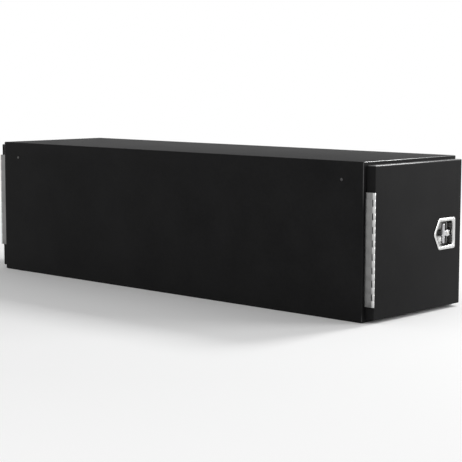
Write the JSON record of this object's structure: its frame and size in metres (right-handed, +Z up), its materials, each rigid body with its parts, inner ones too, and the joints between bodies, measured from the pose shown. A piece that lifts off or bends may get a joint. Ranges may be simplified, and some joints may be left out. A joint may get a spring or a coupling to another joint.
{
  "type": "tunnel truck tool box",
  "caption": "Long black steel tunnel tool box, open from end to end, closed by a hinged pan door with a folding T-handle latch at either end.",
  "frame": {"origin": "centre of the body's flat underside, on the ground plane", "axes": "+X along the length towards the right end, +Y to the rear, +Z up. The pictured long side faces -Y"},
  "size_m": [2.2476, 0.6122, 0.6096],
  "materials": {
    "black_powder_coat": "smooth semi-gloss black powder coat",
    "stainless_steel": "brushed stainless",
    "polished_stainless": "bright pressed stainless",
    "zinc_plated_steel": "bright zinc plate",
    "cast_chrome": "chromed zinc casting",
    "brass_plug": "nickel plated brass",
    "black_rubber": "matt black closed-cell rubber"
  },
  "bodies": {
    "box": {"front_top_shell": "black_powder_coat", "rear_floor_shell": "black_powder_coat", "roof_stiffeners": "black_powder_coat", "stay_bolts": "zinc_plated_steel", "stay_nuts": "zinc_plated_steel", "right_end_frame": "black_powder_coat", "right_hinge_rail": "black_powder_coat", "right_frame_leaf": "stainless_steel", "right_hinge_pin": "stainless_steel", "right_strike": "black_powder_coat", "left_end_frame": "black_powder_coat", "left_hinge_rail": "black_powder_coat", "left_frame_leaf": "stainless_steel", "left_hinge_pin": "stainless_steel", "left_strike": "black_powder_coat"},
    "right_door": {"right_door_skin": "black_powder_coat", "right_door_liner": "black_powder_coat", "right_door_leaf": "stainless_steel", "right_door_seal": "black_rubber", "right_door_stay_eye": "black_powder_coat", "right_latch_dish": "polished_stainless", "right_latch_gasket": "black_rubber", "right_latch_rivets": "stainless_steel", "right_latch_bush": "stainless_steel", "right_lock_keeper": "stainless_steel"},
    "right_latch": {"right_latch_spindle": "zinc_plated_steel", "right_latch_cam": "zinc_plated_steel", "right_latch_cam_nut": "zinc_plated_steel"},
    "right_handle": {"right_t_handle": "cast_chrome", "right_handle_pin": "stainless_steel", "right_lock_barrel": "cast_chrome"},
    "right_lock": {"right_lock_plug": "brass_plug"},
    "left_door": {"left_door_skin": "black_powder_coat", "left_door_liner": "black_powder_coat", "left_door_leaf": "stainless_steel", "left_door_seal": "black_rubber", "left_door_stay_eye": "black_powder_coat", "left_latch_dish": "polished_stainless", "left_latch_gasket": "black_rubber", "left_latch_rivets": "stainless_steel", "left_latch_bush": "stainless_steel", "left_lock_keeper": "stainless_steel"},
    "left_latch": {"left_latch_spindle": "zinc_plated_steel", "left_latch_cam": "zinc_plated_steel", "left_latch_cam_nut": "zinc_plated_steel"},
    "left_handle": {"left_t_handle": "cast_chrome", "left_handle_pin": "stainless_steel", "left_lock_barrel": "cast_chrome"},
    "left_lock": {"left_lock_plug": "brass_plug"}
  },
  "joints": [
    {"name": "right_door_hinge", "type": "hinge", "parent": "box", "child": "right_door", "pos_m": [1.1191, -0.2918, 0.3048], "axis": [0, 0, -1], "range_deg": [0, 110]},
    {"name": "right_latch_turn", "type": "hinge", "parent": "right_door", "child": "right_latch", "pos_m": [1.0896, 0.21555, 0.3048], "axis": [-1, 0, 0], "range_deg": [0, 90]},
    {"name": "right_handle_fold", "type": "hinge", "parent": "right_latch", "child": "right_handle", "pos_m": [1.1046, 0.21555, 0.3048], "axis": [0, 0, 1], "range_deg": [0, 90]},
    {"name": "right_lock_turn", "type": "hinge", "parent": "right_handle", "child": "right_lock", "pos_m": [1.106, 0.20005, 0.3048], "axis": [1, 0, 0], "range_deg": [0, 90]},
    {"name": "left_door_hinge", "type": "hinge", "parent": "box", "child": "left_door", "pos_m": [-1.1191, -0.2918, 0.3048], "axis": [0, 0, 1], "range_deg": [0, 110]},
    {"name": "left_latch_turn", "type": "hinge", "parent": "left_door", "child": "left_latch", "pos_m": [-1.0896, 0.21555, 0.3048], "axis": [-1, 0, 0], "range_deg": [0, 90]},
    {"name": "left_handle_fold", "type": "hinge", "parent": "left_latch", "child": "left_handle", "pos_m": [-1.1046, 0.21555, 0.3048], "axis": [0, 0, -1], "range_deg": [0, 90]},
    {"name": "left_lock_turn", "type": "hinge", "parent": "left_handle", "child": "left_lock", "pos_m": [-1.106, 0.20005, 0.3048], "axis": [1, 0, 0], "range_deg": [0, 90]}
  ],
  "couplings": [
    {"joint": "right_latch_turn", "follows": "right_handle_fold", "ratio": 1},
    {"joint": "left_latch_turn", "follows": "left_handle_fold", "ratio": 1}
  ]
}
